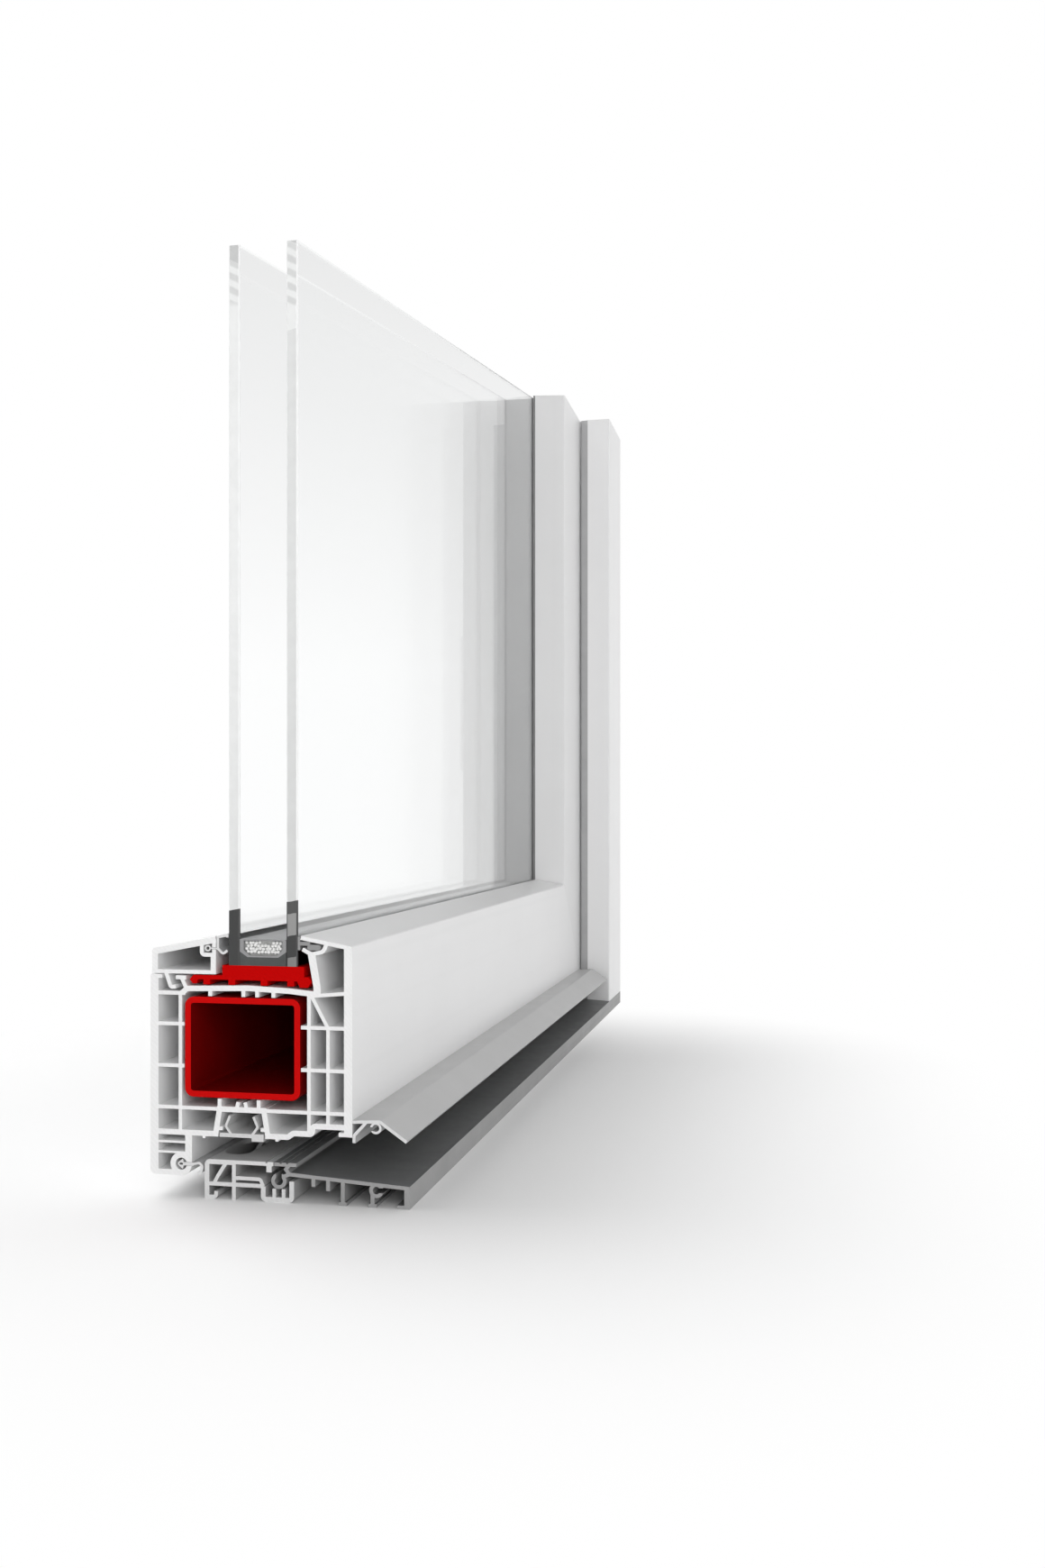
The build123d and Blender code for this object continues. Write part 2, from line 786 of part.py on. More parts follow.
def plate_section():
    ridge = strip(plate_wall, (ridge_in, ridge_line), (ridge_out, ridge_line))
    hook = strip(
        plate_wall,
        (plate_root, ridge_line),
        (plate_root - plate_wall, (threshold_height + plate_inner_top - plate_wall) / 2),
        (plate_root, plate_line(plate_root)),
    )
    root = (plate_root, plate_line(plate_root))
    neck = strip(plate_wall, (port_e + main_wall, port_height + trough_wall), root)
    tread = strip(plate_wall, root, (frame_out, plate_line(frame_out)))
    nosing = box2(frame_out - main_wall, 0, frame_out, plate_outer_top - plate_wall / 4)
    nosing += box2(frame_out - main_wall - nosing_toe, 0, frame_out, web_wall)
    ribs = []
    for k in (0, 1):
        e = base_out + rib_start + k * rib_pitch
        ribs.append(strip(lip_wall, (e, plate_line(e) - rib_height - k * rib_growth), (e, plate_line(e))))
    for k in (2, 4):
        e = base_out + rib_start + k * rib_pitch
        ribs.append(strip(lip_wall, (e, 0), (e, plate_line(e))))
        ribs.append(strip(web_wall, (e - lip_wall, web_wall / 2), (e + lip_wall, web_wall / 2)))
    rear_port = Pos(port_e, port_height) * (Circle(port_radius) - Circle(port_radius - plate_wall))
    port_top = port_height + port_radius + slip
    rear_port -= box2(port_e - corner_round, port_height, port_e + corner_round, port_top)
    front_e = frame_out - front_port_inset
    front_ring = Circle(front_port_radius) - Circle(front_port_radius - plate_wall)
    mouth = front_port_radius / 3
    front_port = Pos(front_e, front_port_height) * front_ring
    front_port -= box2(front_e, front_port_height - mouth, front_e + 4 * mouth, front_port_height + mouth)
    section = Sketch() + [ridge, hook, neck, tread, nosing, *ribs, rear_port, front_port]
    section -= [score(ridge_in + k * score_pitch) for k in (1, 2)]
    return section - Pos(front_e, front_port_height) * Circle(front_port_radius - plate_wall)


save("threshold_base", slotted(run_along(base_section(), free_end, wall_end, 0)))
save("threshold_plate", run_along(plate_section(), free_end, wall_end, 0))

# Frame jamb on the hinge side, coped over the threshold, with its steel tube and its stop seal
stop_in = leaf_depth + stop_gap
stop_end = jamb_width + stop_height
jamb_web_in = frame_in + face_wall + inner_chamber + web_wall / 2
jamb_tube_in = jamb_web_in + web_wall / 2 + tube_play_in
jamb_tube_out = jamb_tube_in + jamb_tube_depth
jamb_web_out = jamb_tube_out + tube_play_in + web_wall / 2
jamb_tube_low = (jamb_width - jamb_tube_width) / 2
jamb_tube_high = jamb_tube_low + jamb_tube_width
seal_v = stop_end - seal_inset


def jamb_section():
    inside = box2(frame_in, 0, frame_in + face_wall, jamb_width)
    outside = box2(frame_out - face_wall, 0, frame_out, stop_end)
    back = box2(frame_in, 0, frame_out, main_wall)
    floor = box2(frame_in, jamb_width - main_wall, frame_out, jamb_width)
    web_places = (jamb_web_in, jamb_web_out, stop_in + web_wall)
    uprights = [strip(web_wall, (e, 0), (e, jamb_width)) for e in web_places]
    levels = [jamb_width * 0.34, jamb_width * 0.66]
    cross_in = [strip(web_wall, (frame_in, v), (jamb_tube_in - slip, v)) for v in levels]
    cross_out = [strip(web_wall, (jamb_tube_out + slip, v), (frame_out, v)) for v in levels]
    places = [jamb_tube_in + jamb_tube_depth * share for share in (0.25, 0.75)]
    beds = [strip(lip_wall, (e, 0), (e, jamb_tube_low - slip)) for e in places]
    beds += [strip(lip_wall, (e, jamb_tube_high + slip), (e, jamb_width)) for e in places]
    stop_wall = box2(stop_in, jamb_width - main_wall, stop_in + face_wall, stop_end)
    stop_top = box2(stop_in, stop_end - face_wall, frame_out, stop_end)
    seal_block = box2(stop_in, seal_v - seal_inset, stop_in + seal_root + lip_wall, stop_end)
    section = Sketch() + [inside, outside, back, floor, *uprights, *cross_in, *cross_out, *beds]
    section += [stop_wall, stop_top, seal_block]
    section -= box2(stop_in - slip, seal_v - seal_neck / 2, stop_in + seal_root, seal_v + seal_neck / 2)
    return rounded(section, corner_round, (frame_out, stop_end), (frame_in, jamb_width))


def jamb_seal_section():
    lip_end = leaf_depth + seal_clear
    neck = seal_neck / 2 - slip / 3
    root = box2(stop_in - slip, seal_v - neck, stop_in + seal_root - slip / 3, seal_v + neck)
    lip = Polygon(
        (lip_end, seal_v - seal_lip / 2),
        (lip_end + corner_round, seal_v - seal_lip),
        (stop_in, seal_v - seal_lip - slip),
        (stop_in, seal_v + seal_lip + slip),
        (lip_end + corner_round, seal_v + seal_lip),
        (lip_end, seal_v + seal_lip / 2),
        align=None,
    )
    return Sketch() + [root, lip]


def cope(solid):
    edge = ridge_out + joint_gap
    beyond = frame_out + rebate_gap
    bed = Polygon(
        (frame_in - rebate_gap, -rebate_gap),
        (beyond, -rebate_gap),
        (beyond, plate_line(beyond) + plate_wall / 2 + joint_gap),
        (edge, plate_line(edge) + plate_wall / 2 + joint_gap),
        (edge, threshold_height + joint_gap),
        (frame_in - rebate_gap, threshold_height + joint_gap),
        align=None,
    )
    return solid - run_along(bed, stop_tip - rebate_gap, wall_end + rebate_gap, 0)


jamb_tube = tube_section(
    jamb_tube_in,
    jamb_tube_low,
    jamb_tube_depth,
    jamb_tube_width,
    jamb_tube_wall,
    tube_round,
)
save("frame_jamb", cope(run_up(jamb_section(), 0, sample_height, wall_end)))
save("jamb_reinforcement", cope(run_up(jamb_tube, 0, sample_height, wall_end)))
save("jamb_seal", cope(run_up(jamb_seal_section(), 0, sample_height, wall_end)))

# Hinge on the inside: a flag on the leaf, a bracket on the jamb and a capped pin
axis_place = Vector(hinge_axis, depth(-axis_out))
hinge_low = hinge_height - leaf_knuckle / 2 - knuckle_gap - frame_knuckle
hinge_high = hinge_height + leaf_knuckle / 2 + knuckle_gap + frame_knuckle


def knuckle(low, high):
    ring = Pos(axis_place.X, axis_place.Y, low) * Circle(knuckle_radius)
    return extrude(ring, amount=high - low)


def slab(outline, low, high):
    return extrude(Pos(0, 0, low) * outline, amount=high - low)


def pin_hole(solid):
    bore = Pos(axis_place.X, axis_place.Y, hinge_low) * Circle(pin_radius + pin_clear)
    return solid - extrude(bore, amount=hinge_high - hinge_low)


# A hinge plate that lies on a face looking inside, with round corners and an eased front edge
def hinge_plate(left, right, face):
    plate = Box(right - left, flag_wall, flag_height, align=(Align.MIN, Align.MIN, Align.CENTER))
    plate = fillet(plate.edges().filter_by(Axis.Y), flag_round)
    plate = chamfer(plate.faces().sort_by(Axis.Y)[-1].edges(), flag_ease)
    return Pos(left, face, hinge_height) * plate


def hinge_flag():
    edge = leaf_outer - flag_inset
    low = hinge_height - leaf_knuckle / 2
    high = hinge_height + leaf_knuckle / 2
    middle = depth(0) + flag_wall / 2
    neck = strip(
        flag_wall,
        (edge - 2 * flag_wall, middle),
        (leaf_outer, middle),
        (axis_place.X, axis_place.Y),
        bend=flag_wall,
    )
    flag = hinge_plate(edge - flag_width, edge, depth(0))
    return pin_hole(flag + slab(neck, low, high) + knuckle(low, high))


def hinge_bracket():
    face = depth(frame_in)
    left = hinge_axis + corner_round
    bracket = hinge_plate(left, wall_end - bracket_inset, face)
    arm_start = (axis_place.X + bracket_inset, axis_place.Y)
    arm = strip(arm_wall, arm_start, (left + arm_wall, face + flag_wall / 2))
    for low, high in ((hinge_low, hinge_low + frame_knuckle), (hinge_high - frame_knuckle, hinge_high)):
        bracket += slab(arm, low, high) + knuckle(low, high)
    return pin_hole(bracket)


def hinge_pin():
    rod = Pos(axis_place.X, axis_place.Y, hinge_low) * Circle(pin_radius)
    pin = extrude(rod, amount=hinge_high - hinge_low)
    lower_cap = knuckle(hinge_low - cap_height, hinge_low)
    upper_cap = knuckle(hinge_high, hinge_high + cap_height)
    pin += chamfer(lower_cap.edges().sort_by(Axis.Z)[0], cap_ease)
    pin += chamfer(upper_cap.edges().sort_by(Axis.Z)[-1], cap_ease)
    return pin


save("hinge_flag", hinge_flag())
save("hinge_bracket", hinge_bracket())
save("hinge_pin", hinge_pin())
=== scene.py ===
import math
import random

import bmesh
import bpy
from mathutils import Matrix, Vector


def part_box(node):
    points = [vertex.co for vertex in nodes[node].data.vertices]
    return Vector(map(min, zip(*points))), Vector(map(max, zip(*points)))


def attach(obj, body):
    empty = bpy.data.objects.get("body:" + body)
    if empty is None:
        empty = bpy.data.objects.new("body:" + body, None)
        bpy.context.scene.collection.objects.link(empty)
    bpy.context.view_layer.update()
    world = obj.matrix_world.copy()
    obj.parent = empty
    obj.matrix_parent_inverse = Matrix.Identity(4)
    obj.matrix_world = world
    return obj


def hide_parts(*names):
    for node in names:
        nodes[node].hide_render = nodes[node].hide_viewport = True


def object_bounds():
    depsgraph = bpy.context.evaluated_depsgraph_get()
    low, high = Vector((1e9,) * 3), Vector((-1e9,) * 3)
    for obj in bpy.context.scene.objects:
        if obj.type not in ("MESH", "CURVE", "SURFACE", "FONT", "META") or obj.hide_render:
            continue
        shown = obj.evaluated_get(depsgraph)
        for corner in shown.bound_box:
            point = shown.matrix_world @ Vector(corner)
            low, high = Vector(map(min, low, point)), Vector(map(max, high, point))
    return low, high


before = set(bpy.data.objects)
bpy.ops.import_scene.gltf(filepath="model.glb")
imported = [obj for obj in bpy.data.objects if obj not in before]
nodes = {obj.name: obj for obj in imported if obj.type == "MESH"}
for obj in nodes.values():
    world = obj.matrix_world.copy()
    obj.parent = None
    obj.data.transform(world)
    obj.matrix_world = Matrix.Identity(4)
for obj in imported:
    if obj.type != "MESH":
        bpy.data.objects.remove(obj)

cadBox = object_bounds()
scene = bpy.context.scene
scene.view_settings.view_transform = "Standard"
print("frame loaded:", len(nodes), "nodes")

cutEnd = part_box("leaf_bottom_rail")[0].x      # sawn end of the sample
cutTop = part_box("leaf_stile")[1].z            # sawn top of the stile and jamb
# x + z is the same all along the mitred corner
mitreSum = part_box("leaf_stile")[1].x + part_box("leaf_bottom_rail")[0].z


# node helpers

def addNode(tree, kind, values=None, **settings):
    node = tree.nodes.new(kind)
    for key, value in settings.items():
        setattr(node, key, value)
    for key, value in (values or {}).items():
        node.inputs[key].default_value = value
    return node


def feed(tree, socket, value):        # a number, a colour, or the output of another node
    if isinstance(value, (int, float)):
        socket.default_value = value
    elif isinstance(value, tuple):
        socket.default_value = (*value, 1.0)
    else:
        tree.links.new(value, socket)


def mathNode(tree, operation, first, second=None):
    node = addNode(tree, "ShaderNodeMath", operation=operation)
    feed(tree, node.inputs[0], first)
    if second is not None:
        feed(tree, node.inputs[1], second)
    return node.outputs[0]


def mapRange(tree, value, fromLow, fromHigh, toLow, toHigh):
    node = addNode(tree, "ShaderNodeMapRange", {"From Min": fromLow, "From Max": fromHigh})
    tree.links.new(value, node.inputs["Value"])
    feed(tree, node.inputs["To Min"], toLow)
    feed(tree, node.inputs["To Max"], toHigh)
    return node.outputs["Result"]


def toneBy(tree, mask, tone):         # 1 where the mask is 0, the tone where it is 1
    return mapRange(tree, mask, 0.0, 1.0, 1.0, tone)


def splitVector(tree, vector):
    node = addNode(tree, "ShaderNodeSeparateXYZ")
    tree.links.new(vector, node.inputs[0])
    return node.outputs


def newGroup(name, vectors, numbers, results):
    group = bpy.data.node_groups.new(name, "ShaderNodeTree")
    for labels, way, kind in ((vectors, "INPUT", "NodeSocketVector"), (numbers, "INPUT", "NodeSocketFloat"),
                              (results, "OUTPUT", "NodeSocketFloat")):
        for label in labels:
            group.interface.new_socket(label, in_out=way, socket_type=kind)
    start = group.nodes.new("NodeGroupInput")
    end = group.nodes.new("NodeGroupOutput")
    return group, start.outputs, end.inputs


def useGroup(tree, group, place, values=None):
    node = addNode(tree, "ShaderNodeGroup", values, node_tree=group)
    tree.links.new(place, node.inputs["Vector"])
    return node.outputs


# shared surface effects

mottleShape = {"noise": (0.3, 0.7), "patchFactor": 3.7}
lineShape = {"from": 0.58, "to": 0.75}
sawShape = {"skin": 0.00006, "hub": (0.1, 0.21, -0.13), "arcs": 9000.0, "wobbleScale": 260.0, "wobble": 9.0}
speckShape = {"factor": 0.25, "core": 0.05, "rim": 0.12}
weldShape = {"core": 0.0003, "rim": 0.0012}


def makeMottleGroup(shape):       # slow colour drift and gloss patches
    group, given, result = newGroup("mottle", ["Vector"], ["Scale", "Spread", "Rough Low", "Rough High"],
                                    ["Tone", "Roughness"])
    broad = addNode(group, "ShaderNodeTexNoise", {"Detail": 4.0, "Roughness": 0.6})
    patch = addNode(group, "ShaderNodeTexNoise", {"Detail": 3.0, "Roughness": 0.65})
    for noise, factor in ((broad, 1.0), (patch, shape["patchFactor"])):
        group.links.new(given["Vector"], noise.inputs["Vector"])
        group.links.new(mathNode(group, "MULTIPLY", given["Scale"], factor), noise.inputs["Scale"])
    lowTone = mathNode(group, "SUBTRACT", 1.0, given["Spread"])
    tone = mapRange(group, broad.outputs["Fac"], *shape["noise"], lowTone, 1.0)
    gloss = mapRange(group, patch.outputs["Fac"], *shape["noise"], given["Rough Low"], given["Rough High"])
    group.links.new(tone, result["Tone"])
    group.links.new(gloss, result["Roughness"])
    return group


def makeDieLineGroup(shape):      # fine lines that the die leaves along an extrusion
    group, given, result = newGroup("dieLines", ["Vector", "Along"], ["Density"], ["Height", "Mask"])
    stretch = addNode(group, "ShaderNodeVectorMath", operation="MULTIPLY")
    group.links.new(given["Vector"], stretch.inputs[0])
    group.links.new(given["Along"], stretch.inputs[1])
    lines = addNode(group, "ShaderNodeTexNoise", {"Detail": 1.0, "Roughness": 0.5})
    group.links.new(stretch.outputs[0], lines.inputs["Vector"])
    group.links.new(given["Density"], lines.inputs["Scale"])
    group.links.new(lines.outputs["Fac"], result["Height"])
    mask = mapRange(group, lines.outputs["Fac"], shape["from"], shape["to"], 0.0, 1.0)
    group.links.new(mask, result["Mask"])
    return group


def makeSawGroup(shape):          # sawn ends: a mask for the cut planes and the arcs of the blade
    group, given, result = newGroup("sawnEnd", ["Vector"], [], ["Mask", "Height"])
    spot = splitVector(group, given["Vector"])
    atEnd = mathNode(group, "LESS_THAN", spot["X"], cutEnd + shape["skin"])
    atTop = mathNode(group, "GREATER_THAN", spot["Z"], cutTop - shape["skin"])
    group.links.new(mathNode(group, "MAXIMUM", atEnd, atTop), result["Mask"])
    swing = addNode(group, "ShaderNodeVectorMath", operation="DISTANCE")
    group.links.new(given["Vector"], swing.inputs[0])
    swing.inputs[1].default_value = shape["hub"]
    wobble = addNode(group, "ShaderNodeTexNoise", {"Scale": shape["wobbleScale"], "Detail": 3.0})
    group.links.new(given["Vector"], wobble.inputs["Vector"])
    phase = mathNode(group, "ADD", mathNode(group, "MULTIPLY", swing.outputs["Value"], shape["arcs"]),
                     mathNode(group, "MULTIPLY", wobble.outputs["Fac"], shape["wobble"]))
    group.links.new(mathNode(group, "SINE", phase), result["Height"])
    return group


def makePeelGroup(shape):         # orange peel of a coat or a moulded skin, with scattered specks
    group, given, result = newGroup("peel", ["Vector"], ["Scale"], ["Height", "Specks"])
    skin = addNode(group, "ShaderNodeTexNoise", {"Detail": 2.0, "Roughness": 0.5})
    specks = addNode(group, "ShaderNodeTexVoronoi", {"Randomness": 1.0})
    for texture, factor in ((skin, 1.0), (specks, shape["factor"])):
        group.links.new(given["Vector"], texture.inputs["Vector"])
        group.links.new(mathNode(group, "MULTIPLY", given["Scale"], factor), texture.inputs["Scale"])
    group.links.new(skin.outputs["Fac"], result["Height"])
    dots = mapRange(group, specks.outputs["Distance"], shape["core"], shape["rim"], 1.0, 0.0)
    group.links.new(dots, result["Specks"])
    return group


def makeWeldGroup(shape):         # cleaned seam along the mitred corner
    group, given, result = newGroup("weldSeam", ["Vector"], [], ["Mask"])
    spot = splitVector(group, given["Vector"])
    off = mathNode(group, "SUBTRACT", mathNode(group, "ADD", spot["X"], spot["Z"]), mitreSum)
    mask = mapRange(group, mathNode(group, "ABSOLUTE", off), shape["core"], shape["rim"], 1.0, 0.0)
    group.links.new(mask, result["Mask"])
    return group


mottle = makeMottleGroup(mottleShape)
dieLines = makeDieLineGroup(lineShape)
sawnEnd = makeSawGroup(sawShape)
peel = makePeelGroup(speckShape)
weldSeam = makeWeldGroup(weldShape)
print("surface effects made")


# finishes

def newMaterial(name):
    material = bpy.data.materials.new(name)
    material.use_nodes = True
    tree = material.node_tree
    place = addNode(tree, "ShaderNodeTexCoord").outputs["Object"]
    return material, tree, tree.nodes["Principled BSDF"], place


def addDrift(tree, look, place):      # the mottle group with a look's own values
    low, high = look["rough"]
    return useGroup(tree, mottle, place, {"Scale": look["mottleScale"], "Spread": look["spread"],
                                          "Rough Low": low, "Rough High": high})


def mixTone(tree, colour, tone):      # a colour multiplied by a tone
    node = addNode(tree, "ShaderNodeMix", {"Factor": 1.0}, data_type="RGBA", blend_type="MULTIPLY")
    feed(tree, node.inputs["A"], colour)
    tree.links.new(tone, node.inputs["B"])
    return node.outputs["Result"]


def mixColour(tree, mask, low, high):
    node = addNode(tree, "ShaderNodeMix", data_type="RGBA")
    tree.links.new(mask, node.inputs["Factor"])
    feed(tree, node.inputs["A"], low)
    feed(tree, node.inputs["B"], high)
    return node.outputs["Result"]


def addBump(tree, bsdf, layers):      # layers of (height, depth in metres), one bump after another
    normal = None
    for height, depth in layers:
        bump = addNode(tree, "ShaderNodeBump", {"Strength": 1.0, "Distance": depth})
        tree.links.new(height, bump.inputs["Height"])
        if normal is not None:
            tree.links.new(normal, bump.inputs["Normal"])
        normal = bump.outputs["Normal"]
    tree.links.new(normal, bsdf.inputs["Normal"])


def masked(tree, height, mask):
    return mathNode(tree, "MULTIPLY", height, mask)


def makeProfileFinish(name, look):    # an extruded profile: die lines on its skin, saw arcs on its ends
    material, tree, bsdf, place = newMaterial(name)
    drift = addDrift(tree, look, place)
    lines = useGroup(tree, dieLines, place, {"Along": look["along"], "Density": look["lineDensity"]})
    saw = useGroup(tree, sawnEnd, place)
    fine = useGroup(tree, peel, place, {"Scale": look["peelScale"]})
    lined = toneBy(tree, lines["Mask"], 1.0 - look["lineTone"])
    skin = mixTone(tree, mixTone(tree, look["colour"], drift["Tone"]), lined)
    layers = [(lines["Height"], look["lineDepth"]), (fine["Height"], look["peelDepth"]),
              (masked(tree, saw["Height"], saw["Mask"]), look["sawDepth"])]
    if "seamTone" in look:
        seam = useGroup(tree, weldSeam, place)
        skin = mixTone(tree, skin, toneBy(tree, seam["Mask"], 1.0 - look["seamTone"]))
        layers.append((mathNode(tree, "SUBTRACT", 1.0, seam["Mask"]), look["seamDepth"]))
    arcs = mapRange(tree, saw["Height"], -1.0, 1.0, 1.0 - look["arcTone"], 1.0)
    sawn = mixTone(tree, look["sawnColour"], arcs)
    tree.links.new(mixColour(tree, saw["Mask"], skin, sawn), bsdf.inputs["Base Color"])
    sawRough = mathNode(tree, "MULTIPLY", saw["Mask"], look["sawnRough"])
    tree.links.new(mathNode(tree, "MAXIMUM", drift["Roughness"], sawRough), bsdf.inputs["Roughness"])
    bsdf.inputs["IOR"].default_value = look["ior"]
    bsdf.inputs["Specular IOR Level"].default_value = look["gloss"]
    addBump(tree, bsdf, layers)
    return material


alongRail = (0.004, 1.0, 1.0)         # squeezes a texture along x, so that it runs as lines
alongStile = (1.0, 1.0, 0.004)
profileLook = {
    "colour": (0.92, 0.92, 0.922), "sawnColour": (0.92, 0.92, 0.92), "along": alongRail,
    "mottleScale": 14.0, "spread": 0.025, "rough": (0.3, 0.38), "sawnRough": 0.62,
    "lineDensity": 220.0, "lineTone": 0.012, "lineDepth": 0.00001, "peelScale": 700.0,
    "peelDepth": 0.000003, "sawDepth": 0.000008, "arcTone": 0.03, "ior": 1.46, "gloss": 0.5,
}
seamLook = {"seamTone": 0.05, "seamDepth": 0.0001}
redSteelLook = {
    **profileLook, "colour": (0.22, 0.002, 0.002), "sawnColour": (0.61, 0.0022, 0.0022), "rough": (0.3, 0.42),
    "sawnRough": 0.45, "spread": 0.12, "mottleScale": 60.0, "gloss": 0.05,
}
railFinish = makeProfileFinish("whiteRailSkin", {**profileLook, **seamLook})
# painted shade: the stile and side bead get a darker copy of the rail's white skin, standing in for the shade on
# the stile's faces beside the jamb; their sawn top keeps the rail's white
shadedStileFinish = makeProfileFinish("whiteStileSkinShaded", {
    **profileLook, **seamLook, "along": alongStile, "colour": (0.885, 0.885, 0.887)})
jambFinish = makeProfileFinish("whiteJambSkin", {**profileLook, "along": alongStile})
sillFinish = makeProfileFinish("sillBaseSkin", {
    **profileLook, "colour": (0.5, 0.5, 0.5), "sawnColour": (0.76, 0.76, 0.76), "rough": (0.4, 0.5)})
stripFinish = makeProfileFinish("grooveStripSkin", {
    **profileLook, "colour": (0.6, 0.6, 0.6), "sawnColour": (0.7, 0.7, 0.7), "rough": (0.42, 0.52)})
barFinish = makeProfileFinish("weatherBarCoat", {
    **profileLook, "colour": (0.52, 0.52, 0.52), "sawnColour": (0.78, 0.78, 0.78), "rough": (0.34, 0.44),
    "peelScale": 1100.0, "peelDepth": 0.00001})
redSteelFinish = makeProfileFinish("redSteelCoat", redSteelLook)
redSteelUpFinish = makeProfileFinish("redSteelCoatUpright", {**redSteelLook, "along": alongStile})
packerFinish = makeProfileFinish("redPackerSkin", {
    **profileLook, "colour": (0.54, 0.001, 0.001), "sawnColour": (0.56, 0.001, 0.001), "rough": (0.42, 0.55),
    "sawnRough": 0.5, "spread": 0.1, "mottleScale": 90.0, "gloss": 0.03})


def makeSillPlateFinish(name, look):      # bare cut metal with a dark coat on the tread
    material, tree, bsdf, place = newMaterial(name)
    drift = addDrift(tree, look, place)
    lines = useGroup(tree, dieLines, place, {"Along": look["along"], "Density": look["lineDensity"]})
    saw = useGroup(tree, sawnEnd, place)
    fine = useGroup(tree, peel, place, {"Scale": look["peelScale"]})
    facing = splitVector(tree, addNode(tree, "ShaderNodeNewGeometry").outputs["True Normal"])
    tread = mathNode(tree, "GREATER_THAN", facing["Z"], look["treadFacing"])
    lined = toneBy(tree, lines["Mask"], 1.0 - look["lineTone"])
    bare = mixTone(tree, mixTone(tree, look["bareColour"], drift["Tone"]), lined)
    speck = toneBy(tree, fine["Specks"], look["speckTone"])
    coat = mixTone(tree, mixTone(tree, look["coatColour"], drift["Tone"]), speck)
    tree.links.new(mixColour(tree, tread, bare, coat), bsdf.inputs["Base Color"])
    bareness = mathNode(tree, "SUBTRACT", 1.0, tread)
    tree.links.new(mathNode(tree, "MULTIPLY", bareness, look["metal"]), bsdf.inputs["Metallic"])
    bsdf.inputs["Specular IOR Level"].default_value = look["gloss"]
    coatRough = mathNode(tree, "MULTIPLY", tread, look["coatRough"])
    tree.links.new(mathNode(tree, "ADD", drift["Roughness"], coatRough), bsdf.inputs["Roughness"])
    addBump(tree, bsdf, [(lines["Height"], look["lineDepth"]),
                         (masked(tree, fine["Height"], tread), look["peelDepth"]),
                         (masked(tree, saw["Height"], saw["Mask"]), look["sawDepth"])])
    return material


sillPlateFinish = makeSillPlateFinish("sillPlateMetal", {
    "bareColour": (0.38, 0.38, 0.38), "coatColour": (0.155, 0.158, 0.161), "mottleScale": 25.0, "spread": 0.12,
    "treadFacing": 0.7, "metal": 0.1, "gloss": 0.5, "rough": (0.48, 0.6), "coatRough": -0.12, "along": alongRail,
    "lineDensity": 900.0, "lineTone": 0.08, "lineDepth": 0.00002, "peelScale": 2600.0, "peelDepth": 0.00003,
    "speckTone": 1.25, "sawDepth": 0.00001})


def makeSkinFinish(name, look):       # moulded or coated skin with no die lines
    material, tree, bsdf, place = newMaterial(name)
    drift = addDrift(tree, look, place)
    fine = useGroup(tree, peel, place, {"Scale": look["peelScale"]})
    speck = toneBy(tree, fine["Specks"], look["speckTone"])
    skin = mixTone(tree, mixTone(tree, look["colour"], drift["Tone"]), speck)
    if "cutColour" in look:
        saw = useGroup(tree, sawnEnd, place)
        skin = mixColour(tree, saw["Mask"], skin, mixTone(tree, look["cutColour"], speck))
    tree.links.new(skin, bsdf.inputs["Base Color"])
    tree.links.new(drift["Roughness"], bsdf.inputs["Roughness"])
    bsdf.inputs["Metallic"].default_value = look.get("metal", 0.0)
    addBump(tree, bsdf, [(fine["Height"], look["peelDepth"])])
    return material


rubberLook = {"mottleScale": 60.0, "spread": 0.12, "rough": (0.55, 0.7), "peelScale": 2600.0, "peelDepth": 0.00002}
clayLook = {"mottleScale": 700.0, "rough": (0.7, 0.85), "peelScale": 3600.0, "peelDepth": 0.00003}
gasketFinish = makeSkinFinish("greyGasketRubber", {
    **rubberLook, "colour": (0.5, 0.5, 0.505), "cutColour": (0.74, 0.74, 0.74), "speckTone": 0.85})
darkGasketFinish = makeSkinFinish("darkGasketRubber", {
    **rubberLook, "colour": (0.34, 0.34, 0.342), "cutColour": (0.3, 0.3, 0.3), "speckTone": 0.9})
sealantFinish = makeSkinFinish("darkEdgeSealant", {
    "colour": (0.075, 0.08, 0.08), "mottleScale": 80.0, "spread": 0.2, "rough": (0.6, 0.78),
    "peelScale": 1800.0, "peelDepth": 0.00004, "speckTone": 1.2})
spacerFinish = makeSkinFinish("spacerFoil", {
    "colour": (0.42, 0.425, 0.43), "cutColour": (0.3, 0.3, 0.305), "mottleScale": 50.0, "spread": 0.08,
    "rough": (0.4, 0.52), "peelScale": 2200.0, "peelDepth": 0.00001, "speckTone": 0.8, "metal": 0.3})
hingeFinish = makeSkinFinish("whiteHingeCoat", {
    "colour": (0.82, 0.82, 0.825), "mottleScale": 40.0, "spread": 0.03, "rough": (0.3, 0.4),
    "peelScale": 1500.0, "peelDepth": 0.000012, "speckTone": 0.97})
beadFinish = makeSkinFinish("dryingBeadClay", {
    **clayLook, "colour": (0.93, 0.93, 0.92), "spread": 0.1, "speckTone": 0.7})
# painted shade: the drying core behind the beads gets a darker grey than the beads, standing in for the shade in
# the gaps between them
beadGapShadeFinish = makeSkinFinish("dryingBeadGapShade", {
    **clayLook, "colour": (0.55, 0.55, 0.54), "spread": 0.3, "speckTone": 0.8})
screwFinish = makeSkinFinish("zincScrew", {
    "colour": (0.62, 0.63, 0.64), "mottleScale": 220.0, "spread": 0.15, "rough": (0.3, 0.42),
    "peelScale": 3000.0, "peelDepth": 0.00001, "speckTone": 0.85, "metal": 0.9})


def makeGlassFinish(name, look):
    material, tree, bsdf, place = newMaterial(name)
    drift = addDrift(tree, look, place)
    tree.links.new(mixTone(tree, look["colour"], drift["Tone"]), bsdf.inputs["Base Color"])
    tree.links.new(drift["Roughness"], bsdf.inputs["Roughness"])
    bsdf.inputs["Transmission Weight"].default_value = 1.0
    bsdf.inputs["IOR"].default_value = look["ior"]
    return material


